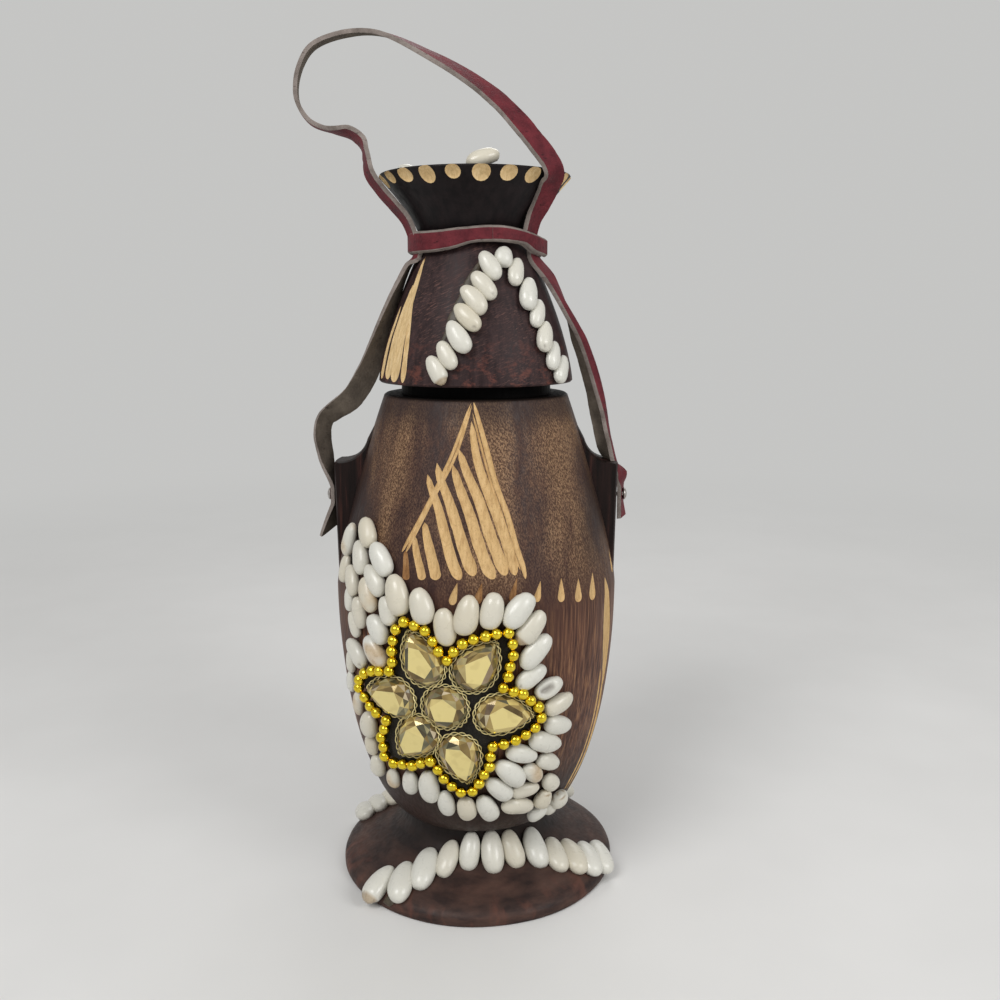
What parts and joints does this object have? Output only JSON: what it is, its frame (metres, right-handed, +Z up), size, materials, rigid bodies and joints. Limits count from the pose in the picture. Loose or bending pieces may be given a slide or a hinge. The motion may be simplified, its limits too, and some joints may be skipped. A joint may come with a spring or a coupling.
{
  "type": "carved wooden honey pot",
  "caption": "Carved dark wooden honey pot on a round foot, with a bell-shaped lid tied on by a leather strap, glued white shells and a jewelled flower.",
  "frame": {"origin": "centre of the round foot's underside, on the axis that pot and lid are turned about", "axes": "+Z up along the turning axis, -Y the front with the gem flower, +X to the viewer's right when facing the front"},
  "size_m": [0.1277, 0.1207, 0.3314],
  "materials": {
    "dark_wood": "hand carved, stained dark and rubbed with wax",
    "white_shell": "polished shell",
    "black_cloth": "matt black cloth",
    "gold_beads": "bright gold",
    "gold_cord": "twisted gold thread",
    "cut_gems": "faceted champagne glass",
    "red_leather": "burgundy grain side, grey suede back and edges",
    "tack_steel": "plain steel"
  },
  "bodies": {
    "pot": {"pot_body": "dark_wood", "flower_backing": "black_cloth", "bead_string": "gold_beads", "gem_centre": "cut_gems", "gem_cord_centre": "gold_cord", "gem_petal_1": "cut_gems", "gem_cord_1": "gold_cord", "gem_petal_2": "cut_gems", "gem_cord_2": "gold_cord", "gem_petal_3": "cut_gems", "gem_cord_3": "gold_cord", "gem_petal_4": "cut_gems", "gem_cord_4": "gold_cord", "gem_petal_5": "cut_gems", "gem_cord_5": "gold_cord", "gem_petal_6": "cut_gems", "gem_cord_6": "gold_cord", "flower_shells_1": "white_shell", "flower_shells_2": "white_shell", "flower_shells_3": "white_shell", "flower_shells_4": "white_shell", "flower_shells_5": "white_shell", "flower_shells_6": "white_shell", "left_shells_1": "white_shell", "left_shells_2": "white_shell", "left_shells_3": "white_shell", "right_shells_1": "white_shell", "right_shells_2": "white_shell", "right_shells_3": "white_shell", "foot_shells_front": "white_shell", "foot_shells_back": "white_shell", "strap_left_run": "red_leather", "strap_right_run": "red_leather", "strap_tack_left": "tack_steel", "strap_tack_right": "tack_steel"},
    "collar": {"collar_band": "red_leather"},
    "lid": {"lid": "dark_wood", "lid_front_shell_apex": "white_shell", "lid_front_shells_left": "white_shell", "lid_front_shells_right": "white_shell", "lid_back_shell_apex": "white_shell", "lid_back_shells_left": "white_shell", "lid_back_shells_right": "white_shell", "lid_top_shell_1": "white_shell", "lid_top_shell_2": "white_shell", "lid_top_shell_3": "white_shell"},
    "handle": {"strap_loop": "red_leather"}
  },
  "joints": [
    {"name": "lid_lift", "type": "slide", "parent": "pot", "child": "collar", "axis": [0, 0, 1], "range_m": [0, 0.04], "deforming": ["strap_left_run", "strap_right_run"]},
    {"name": "lid_turn", "type": "hinge", "parent": "collar", "child": "lid", "pos_m": [0, 0, 0.24], "axis": [0, 0, 1], "range_deg": [-15, 15]},
    {"name": "handle_swing", "type": "hinge", "parent": "collar", "child": "handle", "pos_m": [0, -0.00992, 0.26315], "axis": [1, 0, 0], "range_deg": [0, 70]}
  ]
}
